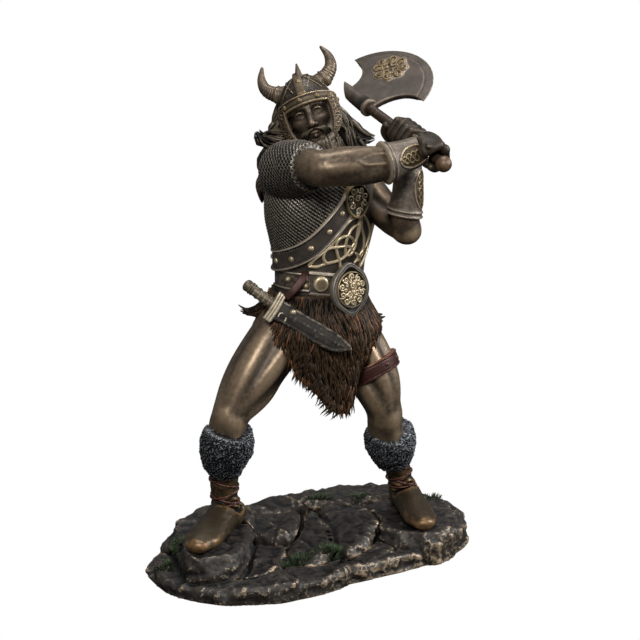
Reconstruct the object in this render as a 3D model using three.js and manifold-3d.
// A bronzed resin statuette: a warrior in a horned helmet who swings a two-handed axe, on an oval base of
// stacked rocks. Millimetres, +Z up. The origin is the middle of the base's flat underside, and the base's
// long side runs along X. The figure faces -Y, so its own right hand is on the -X side.

import * as THREE from "three";
import { ConvexGeometry } from "three/addons/geometries/ConvexGeometry.js";
import { mergeVertices } from "three/addons/utils/BufferGeometryUtils.js";
import Module from "manifold-3d";

const wasm = await Module();
wasm.setup();

// Base
const baseLength = 208;
const baseDepth = 106;
const rightSole = 25; // height of the rock under the right boot
const leftSole = 20;
const fitGap = 0.35; // left between the figure and what it stands on or holds

// Body
const bodyAxis = [9.5, 6.5]; // where the upright trunk stands over the base
const trunkTurn = 20; // degrees that hips and chest turn towards the left hand
const beltHeight = 171.5;
const headCentre = [4, 8, 270];
const headTurn = { yaw: -28, tip: -12, roll: 20 }; // degrees: to the right, back, over the right shoulder

// Axe
const axeButt = [50.8, -64, 248.4];
const axeTop = [39.8, 29.7, 278.9];
const edgeDirection = [0.88, -0.05, 0.472]; // from the handle towards the cutting edge
const handleRadius = 3.2;
const bladeThickness = 3.6;

const bronze = { color: 0x4a4036, roughness: 0.45, metalness: 0.75 };
const finishes = {
  figure: new THREE.MeshStandardMaterial(bronze),
  axe: new THREE.MeshStandardMaterial({ ...bronze, color: 0x5e564a }),
  rock_base: new THREE.MeshStandardMaterial({ ...bronze, color: 0x37322e, roughness: 0.6 }),
};

const point = (x, y, z) => new THREE.Vector3(x, y, z);
const radians = THREE.MathUtils.degToRad;
const front = point(0, -1, 0);
const upwards = point(0, 0, 1);

// The closed surface of a three.js geometry as a solid that can be joined and cut.
function solid(geometry) {
  const bare = geometry.clone();
  bare.deleteAttribute("normal");
  bare.deleteAttribute("uv");
  const merged = mergeVertices(bare, 1e-4);
  const triVerts = new Uint32Array(merged.index.array);
  const vertProperties = merged.attributes.position.array;
  const made = new wasm.Manifold(new wasm.Mesh({ numProp: 3, vertProperties, triVerts }));
  if (made.volume() > 0) return made;
  for (let i = 0; i < triVerts.length; i += 3) triVerts.subarray(i, i + 2).reverse();
  return new wasm.Manifold(new wasm.Mesh({ numProp: 3, vertProperties, triVerts }));
}

const joined = (parts) => parts.reduce((whole, part) => whole.add(part));

// The outer body alone, so that no hollow stays closed up between parts that were joined.
const outerBody = (whole) =>
  whole.decompose().reduce((most, body) => (body.volume() > most.volume() ? body : most));

// How wide a limb is at a share t of its length: full width, with both ends rounded off.
const endRound = 0.09;
const taper = (t) => Math.sqrt(1 - Math.max(0, 1 - Math.min(t, 1 - t) / endRound) ** 2);

// A closed form along a smooth line. Each station is [x, y, z, half width, half depth], and depth lies along
// facing. A corner of 1 gives an ellipse in section, and a lower one a squarer form. The floor flattens it.
function limb(stations, options = {}) {
  const { facing = front, sides = 10, rings = stations.length * 2, corner = 1, floor = 0 } = options;
  const path = new THREE.CatmullRomCurve3(stations.map(([x, y, z]) => point(x, y, z)));
  const girth = new THREE.CatmullRomCurve3(stations.map(([, , , wide, deep = wide]) => point(wide, deep, 0)));
  const geometry = new THREE.SphereGeometry(1, sides, rings);
  const place = geometry.attributes.position;
  for (let i = 0; i < place.count; i++) {
    const t = Math.floor(i / (sides + 1)) / rings;
    const angle = ((i % (sides + 1)) % sides) * ((2 * Math.PI) / sides);
    const along = path.getTangent(t);
    const depth = facing.clone().addScaledVector(along, -facing.dot(along)).normalize();
    const width = along.clone().cross(depth);
    const size = girth.getPoint(t).multiplyScalar(t === 0 || t === 1 ? 0 : taper(t));
    const swell = (turn) => Math.sign(turn) * Math.abs(turn) ** corner;
    const vertex = path
      .getPoint(t)
      .addScaledVector(width, swell(Math.cos(angle)) * size.x)
      .addScaledVector(depth, swell(Math.sin(angle)) * size.y);
    place.setXYZ(i, vertex.x, vertex.y, Math.max(vertex.z, floor));
  }
  return solid(geometry);
}

// Turns a geometry whose axis is Y so that the axis points along facing, and puts it in its place.
function facingOut(geometry, place, facing) {
  const turn = new THREE.Quaternion().setFromUnitVectors(point(0, 1, 0), facing);
  return geometry.applyQuaternion(turn).translate(...place);
}

// A stud's low pointed head.
const stud = (place, facing, radius, height) =>
  solid(facingOut(new THREE.ConeGeometry(radius, height, 4, 1), place, facing));

// Trunk: its own frame has x to the figure's left, y to its back and z up, all from bodyAxis.
const trunkFrame = new THREE.Matrix4()
  .makeRotationZ(radians(trunkTurn))
  .setPosition(bodyAxis[0], bodyAxis[1], 0);
const onTrunk = (x, y, z) => point(x, y, z).applyMatrix4(trunkFrame);
const trunkFront = front.clone().transformDirection(trunkFrame);

// Height, half width and half depth of the trunk, from the hips to the neck.
const trunkStations = [
  [152, 28, 21],
  [166, 29, 21.5],
  [181, 30, 22.5],
  [198, 34.5, 25.5],
  [214, 38, 27.5],
  [229, 36.5, 25.5],
  [242, 26, 18],
  [254, 9, 9],
];
const trunkSize = new THREE.CatmullRomCurve3(trunkStations.map((s) => point(...s)));

// The trunk's half width and half depth at a height.
function trunkGirth(height) {
  const reach = [0, 1];
  for (let i = 0; i < 30; i++) {
    const middle = (reach[0] + reach[1]) / 2;
    reach[trunkSize.getPoint(middle).x < height ? 0 : 1] = middle;
  }
  const { y, z } = trunkSize.getPoint(reach[0]);
  return [y, z];
}

// A place on the trunk, at an angle from its front towards its right hand, and the way that it faces.
function trunkSpot(angle, height, lift = 0) {
  const [wide, deep] = trunkGirth(height);
  const a = radians(angle);
  const facing = point(-Math.sin(a) / wide, -Math.cos(a) / deep, 0).normalize();
  const spot = point(-Math.sin(a) * wide, -Math.cos(a) * deep, height).addScaledVector(facing, lift);
  return [spot.applyMatrix4(trunkFrame), facing.transformDirection(trunkFrame)];
}

// A band that lies on the trunk through [angle, height] spots. Its section is a loop of [across, out] points.
function trunkBand(spots, section, rings = spots.length) {
  const route = new THREE.CatmullRomCurve3(spots.map(([angle, height]) => point(angle, height, 0)));
  const sides = section.length;
  const geometry = new THREE.SphereGeometry(1, sides, rings);
  const place = geometry.attributes.position;
  for (let i = 0; i < place.count; i++) {
    const t = Math.floor(i / (sides + 1)) / rings;
    const [across, out] = section[(i % (sides + 1)) % sides];
    const here = route.getPoint(t);
    const ahead = route.getPoint(Math.min(1, t + 0.01));
    const behind = route.getPoint(Math.max(0, t - 0.01));
    const [spot, facing] = trunkSpot(here.x, here.y);
    const along = trunkSpot(ahead.x, ahead.y)[0].sub(trunkSpot(behind.x, behind.y)[0]).normalize();
    const size = t === 0 || t === 1 ? 0 : 1;
    spot.addScaledVector(facing.clone().cross(along), across * size);
    spot.addScaledVector(facing, out * size);
    place.setXYZ(i, ...spot);
  }
  return solid(geometry);
}

// The section of a raised cord.
const cord = (halfWidth, height) => [
  [halfWidth, -0.6],
  [0, height],
  [-halfWidth, -0.6],
];

function trunk() {
  const stations = trunkStations.map(([z, wide, deep]) => [...onTrunk(0, 0, z), wide, deep]);
  return limb(stations, { facing: trunkFront, sides: 14, rings: 10 });
}

// Studded baldric from the right hip to the left shoulder, with a raised rim along each side, and its studs.
const baldricRoute = [
  [160, 187],
  [118, 186],
  [77, 190.5],
  [48, 198],
  [24, 211],
  [0, 228],
  [-14, 241],
];
const baldricStuds = [
  [136, 186.5],
  [104, 186.5],
  [76, 189.5],
  [52, 197],
  [32, 207],
];

function baldric() {
  const [halfWidth, rim, thickness, rimHeight, sunk] = [6.3, 1.9, 1.3, 2.4, 1.5];
  const half = [
    [halfWidth, -sunk],
    [halfWidth, rimHeight],
    [halfWidth - rim, thickness],
  ];
  const section = [...half, ...half.map(([across, out]) => [-across, out]).reverse()];
  const studs = baldricStuds.map((spot) => stud(...trunkSpot(...spot, 1), 1.9, 2));
  return joined([trunkBand(baldricRoute, section, 10), ...studs]);
}

// Raised cords of the knotwork on the leather over the belly: two long loops that cross, and a ring.
const knotLoops = [
  [[44, 184], [24, 193], [6, 209], [-8, 214], [-13, 205], [-8, 190], [-12, 180]],
  [[22, 182], [8, 190], [0, 201], [-8, 208], [-20, 200], [-26, 188], [-20, 181]],
];

function knotwork() {
  const ringAt = [6, 195];
  const ringReach = 7;
  const ring = Array.from({ length: 7 }, (_, i) => {
    const a = (i / 6) * 2 * Math.PI;
    return [ringAt[0] + ringReach * 2.2 * Math.cos(a), ringAt[1] + ringReach * Math.sin(a)];
  });
  return joined([...knotLoops, ring].map((route) => trunkBand(route, cord(1.4, 1.9))));
}

// Puts a flat ornament on the trunk: it is drawn across and up, and raised along its third axis.
function ornament(geometry, angle, height, lift) {
  const [place, facing] = trunkSpot(angle, height, lift);
  const across = upwards.clone().cross(facing);
  const frame = new THREE.Matrix4().makeBasis(across, upwards, facing).setPosition(place);
  return solid(geometry.applyMatrix4(frame));
}

// The teardrop plate on the breastbone, with a boss in it.
function breastPlate() {
  const halfWidth = 12;
  const halfHeight = 15;
  const corners = 11;
  const outline = new THREE.Shape(
    Array.from({ length: corners }, (_, i) => {
      const a = (i / corners) * 2 * Math.PI;
      return new THREE.Vector2(halfWidth * Math.sin(a) * Math.sin(a / 2), -halfHeight * Math.cos(a));
    }),
  );
  const plate = new THREE.ExtrudeGeometry(outline, { depth: 5, bevelEnabled: false });
  const boss = new THREE.SphereGeometry(1, 7, 5).rotateX(Math.PI / 2).scale(6, 8, 4).translate(0, 3, 5);
  return joined([plate, boss].map((geometry) => ornament(geometry, -9, 220, -2.5)));
}

// Height of the belt's middle at an angle towards the right hand: it lies higher over the right hip.
const beltTilt = 5;
const beltLine = (angle) => beltHeight + beltTilt * Math.sin(radians(angle));

// Belt with its long plate, disc, pegs and the lobed buckle.
function belt() {
  const [halfWidth, halfDepth, halfHeight] = [30.4, 23, 5.4];
  const inside = 0.8; // share of its outer size
  const corners = [
    [inside, -halfHeight],
    [1, -halfHeight],
    [1, halfHeight],
    [inside, halfHeight],
  ].map(([out, up]) => new THREE.Vector2(out, up));
  const girdle = new THREE.LatheGeometry([...corners, corners[0]], 12)
    .rotateX(Math.PI / 2)
    .scale(halfWidth, halfDepth, 1)
    .rotateY(Math.atan(beltTilt / halfWidth))
    .applyMatrix4(trunkFrame)
    .translate(0, 0, beltHeight);
  const plate = new THREE.BoxGeometry(26, 13, 4).rotateZ(-Math.atan(beltTilt / halfWidth));
  const disc = new THREE.CylinderGeometry(4.4, 3.6, 2.4, 8).rotateX(Math.PI / 2).rotateX(Math.PI);
  const pegs = [3, -3].map((rise) => stud(...trunkSpot(57, beltLine(57) + rise, 2.4), 2.2, 3));
  return joined([
    solid(girdle),
    ornament(plate, 30, beltLine(30), 1),
    ornament(disc, 40, beltLine(40), 3.6),
    ...pegs,
    buckle(),
  ]);
}

// The buckle's frame has four pointed lobes round a disc.
function buckle() {
  const reachOfLobes = 15.5;
  const lobes = 4;
  const outline = new THREE.Shape(
    Array.from({ length: 16 }, (_, i) => {
      const a = (i / 16) * 2 * Math.PI;
      const reach = reachOfLobes * (0.84 + 0.16 * Math.abs(Math.cos((a * lobes) / 2)) ** 3);
      return new THREE.Vector2(Math.cos(a) * reach, Math.sin(a) * reach);
    }),
  );
  const frame = new THREE.ExtrudeGeometry(outline, { depth: 5.5, bevelEnabled: false });
  const disc = new THREE.CylinderGeometry(10, 10.8, 3, 12).rotateX(Math.PI / 2).translate(0, 0, 6);
  return joined([frame, disc].map((geometry) => ornament(geometry, 0, beltHeight + 0.5, -2.5)));
}

// A pointed lock of fur or hair from its root along its fall, with half its width at the root.
const lock = (root, tip, halfWidth) => {
  const fall = tip.clone().sub(root);
  const cone = new THREE.ConeGeometry(halfWidth, fall.length(), 4, 1).translate(0, fall.length() / 2, 0);
  return solid(facingOut(cone, root, fall.normalize()));
};

// Kilt of shaggy pelt round the hips. Its hem is short at the sides, a long pointed flap in front and
// a shorter one behind.
const kiltTop = { height: 168, wide: 29.5, deep: 22.5 };
const kiltFlare = { wide: 10, deep: 8, over: 28 }; // how far it spreads, over how much of its fall
const kiltSpot = [5, 2]; // middle of the kilt, which hangs forward of the trunk
const kiltRoot = 144; // height up to which it is hollow under the hem

// The hem's points: degrees from straight ahead towards the left hand, and the height of a lock's tip.
const kiltHem = [
  [-166, 121],
  [-128, 133],
  [-90, 144],
  [-66, 145],
  [-52, 131],
  [-38, 117],
  [-27, 111],
  [-16, 102],
  [-5, 96.5],
  [6, 94],
  [14, 97],
  [20, 118],
  [30, 129],
  [46, 138],
  [68, 145],
  [105, 141],
  [142, 129],
];

function kilt() {
  // Between two tips the hem rises and the pelt is hollow.
  const tipDrop = 6;
  const columns = kiltHem.flatMap(([angle, height], i) => {
    const [nextAngle, nextHeight] = kiltHem[(i + 1) % kiltHem.length];
    const turn = (nextAngle - angle + 360) % 360;
    return [
      { angle, height, raised: 1 },
      { angle: angle + turn / 2, height: (height + nextHeight) / 2 + tipDrop, raised: -1 },
    ];
  });
  const sides = columns.length;
  // Each row of the pelt: its share of the way down to the hem, and how far it is drawn inwards.
  const rows = [
    [0, 0],
    [0.45, 0],
    [1, 0],
    [0.9, 7],
    [0, 22],
  ];
  const geometry = new THREE.SphereGeometry(1, sides, rows.length + 1);
  const place = geometry.attributes.position;
  const lockRise = 1.2;
  for (let i = 0; i < place.count; i++) {
    const row = Math.floor(i / (sides + 1));
    const { angle, height: hem, raised } = columns[(i % (sides + 1)) % sides];
    const a = radians(angle);
    const [down, inward] = rows[Math.min(Math.max(row - 1, 0), rows.length - 1)];
    const drop = down * (kiltTop.height - hem);
    const spread = THREE.MathUtils.smoothstep(drop, 0, kiltFlare.over);
    const pole = row === 0 || row === rows.length + 1;
    const rise = raised * lockRise * (down > 0) - inward;
    const reach = (size, flare) => (pole ? 0 : size + flare * spread + rise);
    const height = row > rows.length - 1 ? kiltRoot : kiltTop.height - drop;
    const lean = Math.max(0, drop - kiltFlare.over) * 0.1; // the long flap falls in towards the thighs
    place.setXYZ(
      i,
      kiltSpot[0] + Math.sin(a) * (reach(kiltTop.wide, kiltFlare.wide) - lean),
      kiltSpot[1] - Math.cos(a) * (reach(kiltTop.deep, kiltFlare.deep) - lean * 0.5),
      height,
    );
  }
  const tufts = [
    lock(point(-26, 8, 157), point(-35, 18, 153), 6),
    lock(point(32, -5, 153), point(42.5, -9, 144.5), 6),
  ];
  return joined([solid(geometry), ...tufts]);
}

// Legs: hip, thigh, knee, shin and ankle, as centre and half widths.
const rightLeg = [
  [-13, 3, 150, 18, 18],
  [-27, 1.5, 133, 17.6, 18],
  [-41.5, -0.5, 117, 15.6, 16],
  [-54.5, -3, 101.5, 11.3, 12],
  [-56, -2, 92, 11.2, 12],
  [-55.5, 3, 76, 10, 10.5],
];
const leftLeg = [
  [23, 6, 150, 17, 17],
  [33, -2, 124, 16.5, 17],
  [39, -9, 106, 14, 14.5],
  [42, -13, 92, 11.3, 12],
  [45, -12, 80, 11, 11.5],
  [49.5, -9, 66, 10, 10.5],
];
// Boots: shaft and foot, and the cuff of curly fleece round the shaft's top.
const boots = {
  right: {
    shaft: [
      [-55.5, 4, 70, 9.5, 9.5],
      [-54.5, 8.5, 52, 8.4, 8.6],
      [-52.5, 11, 40, 8, 9],
      [-51, 11, 31, 8, 9.5],
    ],
    foot: [
      [-45, 14, 31, 7, 7],
      [-55, 7, 33, 9, 10],
      [-67, -4, 31, 10, 8],
      [-79, -15, 29.5, 10.5, 6],
      [-86, -21, 29, 7, 4.5],
    ],
    cuff: [
      [-57, -3.5, 91, 14, 14],
      [-57, -2, 82, 16, 16],
      [-56.5, 2.5, 72, 14.6, 14.4],
      [-55.5, 7, 58, 10, 10],
    ],
    sole: rightSole,
  },
  left: {
    shaft: [
      [52, -7, 62, 9, 9],
      [58, -4, 49, 7.8, 8],
      [63, -1, 36, 7.6, 8.6],
      [65, 0, 27, 7.8, 9],
    ],
    foot: [
      [68, 6, 26, 7, 7],
      [65.5, -2, 28.5, 8.6, 10],
      [61.5, -17, 26.5, 9.4, 8],
      [58, -32, 24.5, 10, 6],
      [56, -41.5, 24, 6.5, 4.5],
    ],
    cuff: [
      [46, -12.5, 81, 13.5, 13.5],
      [48.5, -10, 73, 15.8, 15.6],
      [51.5, -8, 63, 14.6, 14.4],
      [55.5, -5, 51, 9.6, 9.6],
    ],
    sole: leftSole,
  },
};

// The boot, made fatter by grow where the base makes room for it.
function boot({ shaft, foot, sole }, grow = 0) {
  const fatter = (stations) => stations.map(([x, y, z, wide, deep]) => [x, y, z, wide + grow, deep + grow]);
  const floor = sole - grow;
  return joined([
    limb(fatter(shaft), { sides: 8, rings: 4, floor }),
    limb(fatter(foot), { facing: upwards, sides: 8, rings: 7, corner: 0.85, floor }),
  ]);
}

function legs() {
  const thighStrap = [
    [35, -4, 120, 17, 17.4],
    [37, -6, 115, 16.8, 17.2],
    [39, -8, 110, 15.8, 16.4],
  ];
  return joined([
    limb(rightLeg, { sides: 9, rings: 8 }),
    limb(leftLeg, { sides: 9, rings: 8 }),
    limb(thighStrap, { sides: 9, rings: 4 }),
    ...Object.values(boots).flatMap((b) => [boot(b), limb(b.cuff, { sides: 8, rings: 5 })]),
  ]);
}

// Arms. The right one comes forward in its mail sleeve, then its forearm crosses in front of the chest.
const rightSleeve = [
  [-8, 5, 237, 15, 15],
  [-17, -3, 240.5, 16.5, 17],
  [-16.5, -19, 245, 15.5, 15.5],
  [-15, -31, 247, 13, 13],
];
const rightForearm = [
  [-16, -28, 247, 10.5, 10.5],
  [-15.5, -40, 247.5, 9.8, 10.2],
  [-5, -44.5, 247.8, 9.6, 10.4],
  [7, -46.5, 247.8, 9.8, 10.6],
  [24, -48.8, 249.5, 8.8, 9.6],
];
const rightBracer = [
  [20, -48.4, 248.8, 11.5, 12.2],
  [25, -48.8, 249.7, 10.3, 11],
  [34, -49.4, 252, 8.8, 9.4],
  [46, -50, 255.5, 7.6, 8.2],
];
const leftUpperArm = [
  [36, 12, 229, 15, 15],
  [41.5, 4, 220, 12.2, 13],
  [43, -10, 211.5, 9.8, 10.6],
  [45.5, -22, 206.5, 9.8, 10.2],
  [47.5, -33, 204.5, 8.8, 9],
];
const leftForearm = [
  [47, -31.5, 203, 9, 9],
  [46, -32, 214, 9.6, 9.8],
  [46, -32, 222, 8.4, 8.6],
];
const leftBracer = [
  [45, -31.5, 213, 11.5, 11.5],
  [45.8, -31.8, 219, 10.4, 10.4],
  [46.8, -32, 229, 9.4, 9.4],
  [47.4, -29, 257, 7.4, 7.2],
];

// The handle's own frame: s runs along it from the axe's top to its butt, and q towards the cutting edge.
const handleStart = point(...axeTop);
const handleLine = point(...axeButt).sub(handleStart);
const handleLength = handleLine.length();
const handleAlong = handleLine.clone().normalize();
const edgeWards = point(...edgeDirection)
  .addScaledVector(handleAlong, -handleAlong.dot(point(...edgeDirection)))
  .normalize();
const bladeFacing = handleAlong.clone().cross(edgeWards);
const axeFrame = new THREE.Matrix4()
  .makeBasis(handleAlong, edgeWards, bladeFacing)
  .setPosition(handleStart);

// A fist closed round the handle, at a distance along it: a ring of four fingers, and the back of the hand,
// which lies over it from the wrist to the knuckles. Angles run round the handle from edgeWards.
function fist(along, wrist, backAt, knucklesAt) {
  const bore = handleRadius + fitGap;
  const fingerWidth = 5;
  const [endThickness, grooveThickness, fingerThickness] = [2.5, 3.4, 5];
  const thickness = [endThickness, fingerThickness];
  for (let finger = 1; finger < 4; finger++) thickness.push(grooveThickness, fingerThickness);
  thickness.push(endThickness);
  const outside = thickness.map((thick, i) => new THREE.Vector2(bore + thick, (i / 2 - 2) * fingerWidth));
  const inside = [2, -2].map((i) => new THREE.Vector2(bore, i * fingerWidth));
  const fingers = new THREE.LatheGeometry([...outside, ...inside, outside[0]], 8)
    .rotateZ(-Math.PI / 2)
    .translate(along, 0, 0)
    .applyMatrix4(axeFrame);
  const spot = (degrees, reach) => {
    const a = radians(degrees);
    return point(along, reach * Math.cos(a), reach * Math.sin(a)).applyMatrix4(axeFrame);
  };
  const stations = [
    [...wrist, 6.5, 5.5],
    [...spot(backAt, bore + 5.4), 9.5, 4.6],
    [...spot((backAt + knucklesAt) / 2, bore + 4.6), 10, 4],
    [...spot(knucklesAt, bore + 3), 9, 2.6],
  ];
  const back = limb(stations, { facing: spot(backAt, 1).sub(spot(backAt, 0)), sides: 6, rings: 5 });
  return solid(fingers).add(back);
}

function arms() {
  return joined([
    limb(rightSleeve, { facing: upwards, sides: 10, rings: 6 }),
    limb(rightForearm, { facing: upwards, sides: 9, rings: 7 }),
    limb(rightBracer, { facing: upwards, sides: 9, rings: 5 }),
    limb(leftUpperArm, { facing: upwards, sides: 9, rings: 6 }),
    limb(leftForearm, { sides: 9, rings: 4 }),
    limb(leftBracer, { sides: 9, rings: 5 }),
    fist(86, [43, -50, 255], 105, 20),
    fist(62, [47.5, -30, 249], -80, 15),
  ]);
}

// Head: its own frame has x to the figure's left, y to its back and z to its crown, from the head's middle.
const headFrame = new THREE.Matrix4()
  .makeRotationFromEuler(
    new THREE.Euler(radians(headTurn.tip), radians(-headTurn.roll), radians(headTurn.yaw), "ZYX"),
  )
  .setPosition(...headCentre);
const onHead = (x, y, z) => point(x, y, z).applyMatrix4(headFrame);
const headFront = front.clone().transformDirection(headFrame);
const headUp = upwards.clone().transformDirection(headFrame);
const alongHead = (stations) => stations.map(([x, y, z, ...size]) => [...onHead(x, y, z), ...size]);

function face() {
  const skull = [
    [0, 1, 14, 10, 12],
    [0, 0, 6, 13, 14.5],
    [0, -1, -4, 12, 13.5],
    [0, -4, -13, 9, 10],
    [0, -6, -18, 5, 6],
  ];
  const nose = [
    [0, -13.4, 1, 1.6, 1.6],
    [0, -16.4, -4.5, 2.3, 2.6],
    [0, -14.5, -7, 2, 1.8],
  ];
  const browHalf = (side) => [
    [side * 9, -11, 2.5, 1.6, 1.8],
    [side * 4, -14.2, 2, 1.6, 2],
  ];
  const brow = [...browHalf(-1), ...browHalf(1).reverse()];
  const moustache = (side) => [
    [side * 0.5, -14.6, -8, 1.8, 2],
    [side * 5, -13.6, -10, 2.2, 2.2],
    [side * 8.5, -10.5, -16, 1.6, 1.6],
  ];
  const beard = [
    [0, -11.5, -11.5, 7, 5],
    [0, -12, -17, 7.5, 6],
    [0, -11, -23, 5.5, 4.5],
    [0, -11, -29, 2, 2],
  ];
  const neck = [
    [...onTrunk(0, 1, 242), 13, 12],
    [...onHead(0, 3, -10), 11, 11],
  ];
  return joined([
    limb(alongHead(skull), { facing: headFront, sides: 9, rings: 7 }),
    limb(alongHead(nose), { facing: headFront, sides: 4, rings: 4 }),
    limb(alongHead(brow), { facing: headUp, sides: 4, rings: 5 }),
    limb(alongHead(moustache(-1)), { facing: headFront, sides: 4, rings: 4 }),
    limb(alongHead(moustache(1)), { facing: headFront, sides: 4, rings: 4 }),
    limb(alongHead(beard), { facing: headFront, sides: 7, rings: 5 }),
    limb(neck, { sides: 7, rings: 3 }),
  ]);
}

// Helmet: a dome with a crest strip and spike, a studded band, two horns and two cheek guards.
const helmetTip = -14; // degrees that the helmet sits back on the head
const helmetFrame = headFrame
  .clone()
  .multiply(new THREE.Matrix4().makeRotationX(radians(helmetTip)).setPosition(0, 0, 4));
const onHelmet = (x, y, z) => point(x, y, z).applyMatrix4(helmetFrame);
const alongHelmet = (stations) => stations.map(([x, y, z, ...size]) => [...onHelmet(x, y, z), ...size]);

function helmet() {
  const halfWidth = 16;
  const halfDepth = 17.5;
  const domeHeight = 20.5;
  const dome = new THREE.SphereGeometry(1, 12, 8)
    .rotateX(Math.PI / 2)
    .scale(halfWidth, halfDepth, domeHeight);
  const domePlace = dome.attributes.position;
  const domeFloor = -1;
  for (let i = 0; i < domePlace.count; i++) domePlace.setZ(i, Math.max(domePlace.getZ(i), domeFloor));
  const profile = [
    [0.2, -3],
    [2.2, -1],
    [2.2, 1.4],
    [0.2, 3],
  ].map(([out, up]) => new THREE.Vector2(halfWidth + out, up));
  const band = new THREE.LatheGeometry([...profile, profile[0]], 12)
    .rotateX(Math.PI / 2)
    .scale(1, halfDepth / halfWidth, 1);
  const studs = [-70, -35, 0, 35, 70].map((degrees) => {
    const a = radians(degrees);
    const facing = point(Math.sin(a), -Math.cos(a), 0).transformDirection(helmetFrame);
    const place = onHelmet(Math.sin(a) * (halfWidth + 2), -Math.cos(a) * (halfDepth + 1.9), 0);
    return stud(place, facing, 1.9, 2.2);
  });
  const crest = [
    [0, -17.6, 3, 2.6, 1.2],
    [0, -14.5, 12.5, 2.6, 1.2],
    [0, -7, 19.4, 2.5, 1.2],
    [0, 4, 20.8, 2.4, 1.2],
    [0, 16, 10, 2.4, 1.2],
  ];
  const spike = lock(onHelmet(2, -8.5, 17), onHelmet(2.5, -12, 25.5), 3.4);
  const horn = (side) => [
    [side * 9, 0, 12.5, 5, 5],
    [side * 15, 0.5, 14.5, 4.6, 4.6],
    [side * 20, 1, 19.5, 3.7, 3.7],
    [side * 20.8, 1.5, 26.5, 2.5, 2.5],
    [side * 18, 1.5, 34, 0.9, 0.9],
  ];
  const guard = (side) => [
    [side * 14.8, -9, 0, 1.8, 3.2],
    [side * 15.6, -9, -8, 1.8, 3.4],
    [side * 14.6, -10.5, -16, 1.8, 3.4],
    [side * 10.8, -13.5, -23, 1.2, 1.5],
  ];
  const placed = (geometry) => solid(geometry.clone().applyMatrix4(helmetFrame));
  return joined([
    placed(dome),
    placed(band),
    limb(alongHelmet(crest), { facing: upwards, sides: 4, rings: 6 }),
    spike,
    ...studs,
    ...[-1, 1].flatMap((side) => [
      limb(alongHelmet(horn(side)), { sides: 6, rings: 6 }),
      limb(alongHelmet(guard(side)), { facing: headFront, sides: 4, rings: 5 }),
    ]),
  ]);
}

// Hair: a thick fall behind the head, and long locks that blow outwards and end in curls.
const hairLocks = [
  [
    [14, 15, 277, 4.5, 4.5],
    [21.5, 13, 268, 5.5, 5.5],
    [30, 9.5, 259, 5.3, 5],
    [38, 4, 254.5, 3.4, 3],
    [43.5, 1.5, 254.5, 1.2, 1.2],
  ],
  [
    [20, 14, 264, 6, 6],
    [27, 9, 255, 6.5, 5.5],
    [34, 4.5, 249, 4.5, 4],
    [38.5, 2, 246, 1.6, 1.6],
  ],
  [
    [2, 15, 268, 4, 4],
    [-1.5, 19, 258.5, 5, 5],
    [-10, 24, 254.5, 4.6, 4.6],
    [-17, 29.5, 254, 3.6, 3.6],
    [-20, 30, 259, 1.6, 1.6],
  ],
  [
    [-2, 19, 257, 6, 6],
    [-9, 25.5, 247.5, 5.6, 5],
    [-15.5, 28.5, 240, 4.2, 4],
    [-17, 26, 232.5, 1.8, 1.8],
  ],
];
const hairFall = [
  [5, 20, 282, 9, 6],
  [6, 25, 270, 13, 8],
  [7, 27.5, 254, 17, 9],
  [7, 30, 238, 16, 8],
  [8, 31, 222, 9, 5],
];

function hair() {
  const ends = [-12, 0, 12].map((across) =>
    lock(onTrunk(across - 3, 22, 236), onTrunk(across * 1.2 - 4, 27, 213), 7),
  );
  return joined([
    limb(hairFall, { facing: headFront, sides: 8, rings: 6 }),
    ...hairLocks.map((stations) => limb(stations, { sides: 5, rings: 5 })),
    ...ends,
  ]);
}

// Knife in a broad leather sheath, hung from the belt by a strap.
const knifeFacing = point(-0.42, -0.85, 0.32);
const knife = {
  handle: [
    [-40.5, 6.6, 174.6, 4.2, 4.2],
    [-38, 3.8, 172.2, 3, 3],
    [-33, -2, 167.5, 3.2, 3.2],
    [-27, -8.5, 162.5, 3.6, 3.6],
  ],
  guard: [
    [-22.3, -8, 170.5, 1.6, 2.4],
    [-28.3, -7.5, 162.5, 3.2, 3.4],
    [-34, -6.4, 154.5, 1.6, 2.4],
  ],
  sheath: [
    [-27.5, -8, 161.8, 6.2, 3],
    [-22, -14, 157.2, 6.2, 3],
    [-14, -22, 150.2, 6.2, 2.8],
    [-5, -30, 143.5, 5, 2.4],
    [1.5, -35, 139.4, 1.2, 1.2],
  ],
  strap: [
    [-9, -12.5, 182.5, 2.4, 2.6],
    [-16.8, -13, 175.6, 2.4, 2.6],
    [-24, -10.5, 167, 2.4, 2.6],
  ],
};

function sheathedKnife() {
  const options = { facing: knifeFacing, sides: 5, rings: 5 };
  const rivet = stud(point(-21.3, -16, 160.4), knifeFacing.clone().normalize(), 1.7, 2.4);
  return joined([...Object.values(knife).map((stations) => limb(stations, options)), rivet]);
}

// Axe: crescent blade with a round boss, its socket, the handle and a ball at the butt.
const blade = {
  middle: 13.5,
  centreOut: 13.5,
  reach: 34.5,
  neck: [1, 26.6],
  upperHorn: [-19.8, 19.6],
  lowerHorn: [47.2, 25],
};
const socket = { from: -1.6, to: 25, radii: [3.7, 5], slant: 1.4 };
const boss = { along: 7, out: 28.5, radius: 13.3, height: 0.9 };

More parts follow.
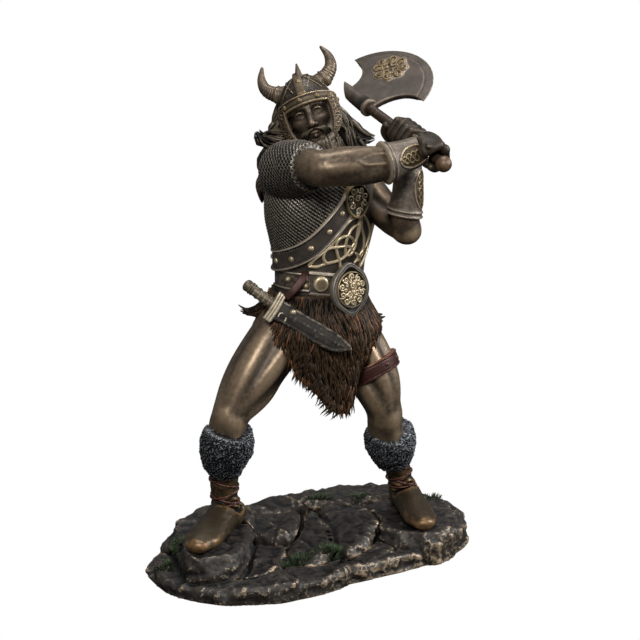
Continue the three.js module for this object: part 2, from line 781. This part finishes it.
function bladeOutline() {
  const { middle, reach, centreOut, neck, upperHorn, lowerHorn } = blade;
  const arcPoints = 12;
  const angleOf = ([along, out]) => Math.atan2(out - centreOut, along - middle);
  const [from, to] = [angleOf(lowerHorn), angleOf(upperHorn)];
  const edge = Array.from({ length: arcPoints + 1 }, (_, i) => {
    const a = from + ((to - from) * i) / arcPoints;
    return new THREE.Vector2(middle + reach * Math.cos(a), centreOut + reach * Math.sin(a));
  });
  const shape = new THREE.Shape(edge);
  shape.quadraticCurveTo(neck[0] + 1, edge[arcPoints].y, neck[0], 0);
  shape.lineTo(neck[1], 0);
  shape.quadraticCurveTo(neck[1] + 0.5, edge[0].y - 1, edge[0].x, edge[0].y);
  return shape;
}

// The socket widens towards the handle, and its far end is cut at a slant.
function socketGeometry() {
  const { from, to, radii, slant } = socket;
  const geometry = new THREE.CylinderGeometry(...radii, to - from, 10).rotateZ(Math.PI / 2);
  const place = geometry.translate((from + to) / 2, 0, 0).attributes.position;
  for (let i = 0; i < place.count; i++) {
    if (place.getX(i) < 0) place.setX(i, place.getX(i) - place.getY(i) * slant);
  }
  return geometry;
}

function axe(grow = 0) {
  const plate = new THREE.ExtrudeGeometry(bladeOutline(), {
    depth: bladeThickness * 0.3,
    bevelThickness: bladeThickness * 0.35,
    bevelSize: 3,
    bevelOffset: -3,
    bevelSegments: 1,
    curveSegments: 5,
  }).translate(0, 0, -bladeThickness * 0.15);
  const rodStart = 6;
  const rod = new THREE.CylinderGeometry(handleRadius + grow, handleRadius + grow, handleLength - rodStart, 9)
    .rotateZ(Math.PI / 2)
    .translate((rodStart + handleLength) / 2, 0, 0);
  const bosses = [-1, 1].map((side) =>
    new THREE.CylinderGeometry(boss.radius, boss.radius, boss.height * 2, 12)
      .rotateX(Math.PI / 2)
      .translate(boss.along, boss.out, (side * bladeThickness) / 2),
  );
  const pieces = [rod, new THREE.SphereGeometry(4.7 + grow, 9, 6).translate(handleLength, 0, 0)];
  if (!grow) {
    pieces.push(plate, socketGeometry(), ...bosses);
  }
  return joined(pieces.map((geometry) => solid(geometry.applyMatrix4(axeFrame))));
}

// Rocks: overlapping slabs. Each has the outline of its lip, the height of the lip in the outline's middle,
// the degrees by which the lip rises to the figure's left and to the back, and the height of its crown over
// the lip. A slab that carries a foot has a level top instead. The top is the outline drawn in to its size.
const rocks = [
  {
    lip: 17.5, rise: [3.7, 5], level: rightSole, size: 0.84, thickness: 9,
    outline: [[-80, 30], [-94, -16], [-92, -29], [-80, -36], [-64, -35], [-50, -18], [-29, 20], [-38, 50]],
  },
  {
    lip: 14, rise: [2.6, 4.6], level: leftSole, size: 0.86, thickness: 12,
    outline: [[44, 20], [31, -22], [44, -44], [55, -53], [66, -52], [83, -41], [95, -6], [90, 18], [74, 30]],
  },
  {
    lip: 17.6, rise: [4.4, 7.8], crown: 3, size: 0.66, thickness: 12,
    outline: [[-38, 44], [4, 34], [-1, 12], [-14, -6], [-23, -10], [-34, -2], [-42, 16]],
  },
  {
    lip: 13.6, rise: [6.4, 8.1], crown: 3, size: 0.6, thickness: 11,
    outline: [[8, 22], [12, -4], [0, -30], [-12, -39], [-24, -37], [-28, -22]],
  },
  {
    lip: 16, rise: [6.6, 8.8], crown: 3.2, size: 0.64, thickness: 12,
    outline: [[20, 27], [41, 12], [40, -12], [29, -27], [12, -38], [2, -38], [4, -18]],
  },
  {
    lip: 20, rise: [0, 7], crown: 2, size: 0.7, thickness: 16,
    outline: [[-26, 45], [0, 51], [16, 49], [21, 28], [4, 22], [-18, 26]],
  },
  {
    lip: 20.2, rise: [-1, 7], crown: 1.6, size: 0.74, thickness: 16,
    outline: [[10, 48], [50, 49], [80, 34], [76, 16], [14, 22]],
  },
  {
    lip: 11, rise: [3, 6], crown: 2, size: 0.8, thickness: 9,
    outline: [[84, 34], [101, 14], [102, -12], [88, -34], [70, -46], [46, -44], [52, 10]],
  },
  {
    lip: 8, rise: [-1, 6], crown: 1.5, size: 0.84, thickness: 8,
    outline: [[84, 42], [103, 26], [106, -4], [98, -22], [77, -36], [50, -44], [56, 0]],
  },
  {
    lip: 8, rise: [0.5, 11], crown: 2, size: 0.75, thickness: 8,
    outline: [[-4, -48], [10, -53], [36, -52], [60, -46], [70, -36], [40, -22], [14, -28]],
  },
  {
    lip: 9, rise: [2, 14], crown: 2.5, size: 0.6, thickness: 9,
    outline: [[27, -20], [36, -30], [32, -44], [6, -54], [-1, -46], [6, -30]],
  },
  {
    lip: 8.5, rise: [2, 10], crown: 2, size: 0.75, thickness: 9,
    outline: [[2, -26], [2, -46], [-8, -57], [-40, -60], [-66, -51], [-44, -24], [-20, -14]],
  },
  {
    lip: 9.5, rise: [3, 12], crown: 3, size: 0.66, thickness: 9,
    outline: [[-24, -12], [-34, -30], [-48, -41], [-64, -38], [-66, -16], [-40, 0]],
  },
  {
    lip: 8, rise: [7, 6], crown: 2, size: 0.8, thickness: 9,
    outline: [[-86, 28], [-101, 8], [-104, -12], [-94, -34], [-74, -51], [-38, -57], [-56, 10]],
  },
  {
    lip: 15.5, rise: [10, -3], crown: 2, size: 0.76, thickness: 13,
    outline: [[-90, 22], [-82, 36], [-62, 50], [-40, 52], [-36, 28], [-70, 8]],
  },
];
const moundHeight = 11; // the ground that fills the cracks between the slabs

function rock({ lip, rise, level, crown, size, thickness, outline }) {
  const middle = [0, 1].map((i) => outline.reduce((sum, spot) => sum + spot[i], 0) / outline.length);
  const steep = rise.map((degrees) => Math.tan(radians(degrees)));
  const ring = (share, lift, flat) =>
    outline.map((spot) => {
      const [x, y] = spot.map((at, i) => (at - middle[i]) * share);
      const height = flat ?? lip + x * steep[0] + y * steep[1] + lift;
      return point(middle[0] + x, middle[1] + y, Math.max(height, 0));
    });
  const top = ring(size, crown, level).filter((_, i) => level || i % 2 === 0);
  const lower = ring(0.97, -thickness).filter((_, i) => i % 3 === 1);
  return solid(new ConvexGeometry([...top, ...ring(1, 0), ...lower]));
}

// A repeatable crooked number between -1 and 1.
const crooked = (seed) => {
  const wave = Math.sin(seed * 12.9898) * 43758.5453;
  return 2 * (wave - Math.floor(wave)) - 1;
};

// A point of the base's rim, which is an oval with flattened sides, at an angle and a share of its full size.
function rimPoint(a, size = 1) {
  const flatness = 2 / 2.7;
  const swell = (turn) => Math.sign(turn) * Math.abs(turn) ** flatness;
  return new THREE.Vector2(
    (swell(Math.cos(a)) * baseLength * size) / 2,
    (swell(Math.sin(a)) * baseDepth * size) / 2,
  );
}

// The base: an oval foot with a crooked rim, a mound on it, and the rocks stacked on them.
function rockBase() {
  const rim = (count, size, height) =>
    Array.from({ length: count }, (_, i) => {
      const { x, y } = rimPoint((i / count) * 2 * Math.PI, size * (1 + 0.012 * (crooked(i + 5) - 1)));
      return point(x, y, height);
    });
  const foot = new ConvexGeometry([...rim(18, 1, 0), ...rim(18, 0.985, 3)]);
  const mound = new ConvexGeometry([...rim(9, 0.86, 1), ...rim(9, 0.68, moundHeight)]);
  return joined([solid(foot), solid(mound), ...rocks.map(rock)]);
}

const axeSolid = axe();
const figureSolid = joined([
  trunk(),
  baldric(),
  knotwork(),
  breastPlate(),
  belt(),
  kilt(),
  legs(),
  arms(),
  face(),
  helmet(),
  hair(),
  sheathedKnife(),
]).subtract(axe(fitGap));
const baseSolid = Object.values(boots).reduce((base, b) => base.subtract(boot(b, fitGap)), rockBase());

function mesh(name, whole) {
  const { vertProperties, triVerts } = whole.getMesh();
  const geometry = new THREE.BufferGeometry();
  geometry.setAttribute("position", new THREE.BufferAttribute(vertProperties, 3));
  geometry.setIndex(new THREE.BufferAttribute(triVerts, 1));
  geometry.computeVertexNormals();
  const made = new THREE.Mesh(geometry, finishes[name]);
  made.name = name;
  return made;
}

const statuette = new THREE.Group();
statuette.name = "viking_statuette";
statuette.add(
  mesh("rock_base", outerBody(baseSolid)),
  mesh("figure", outerBody(figureSolid)),
  mesh("axe", axeSolid),
);

export default statuette;
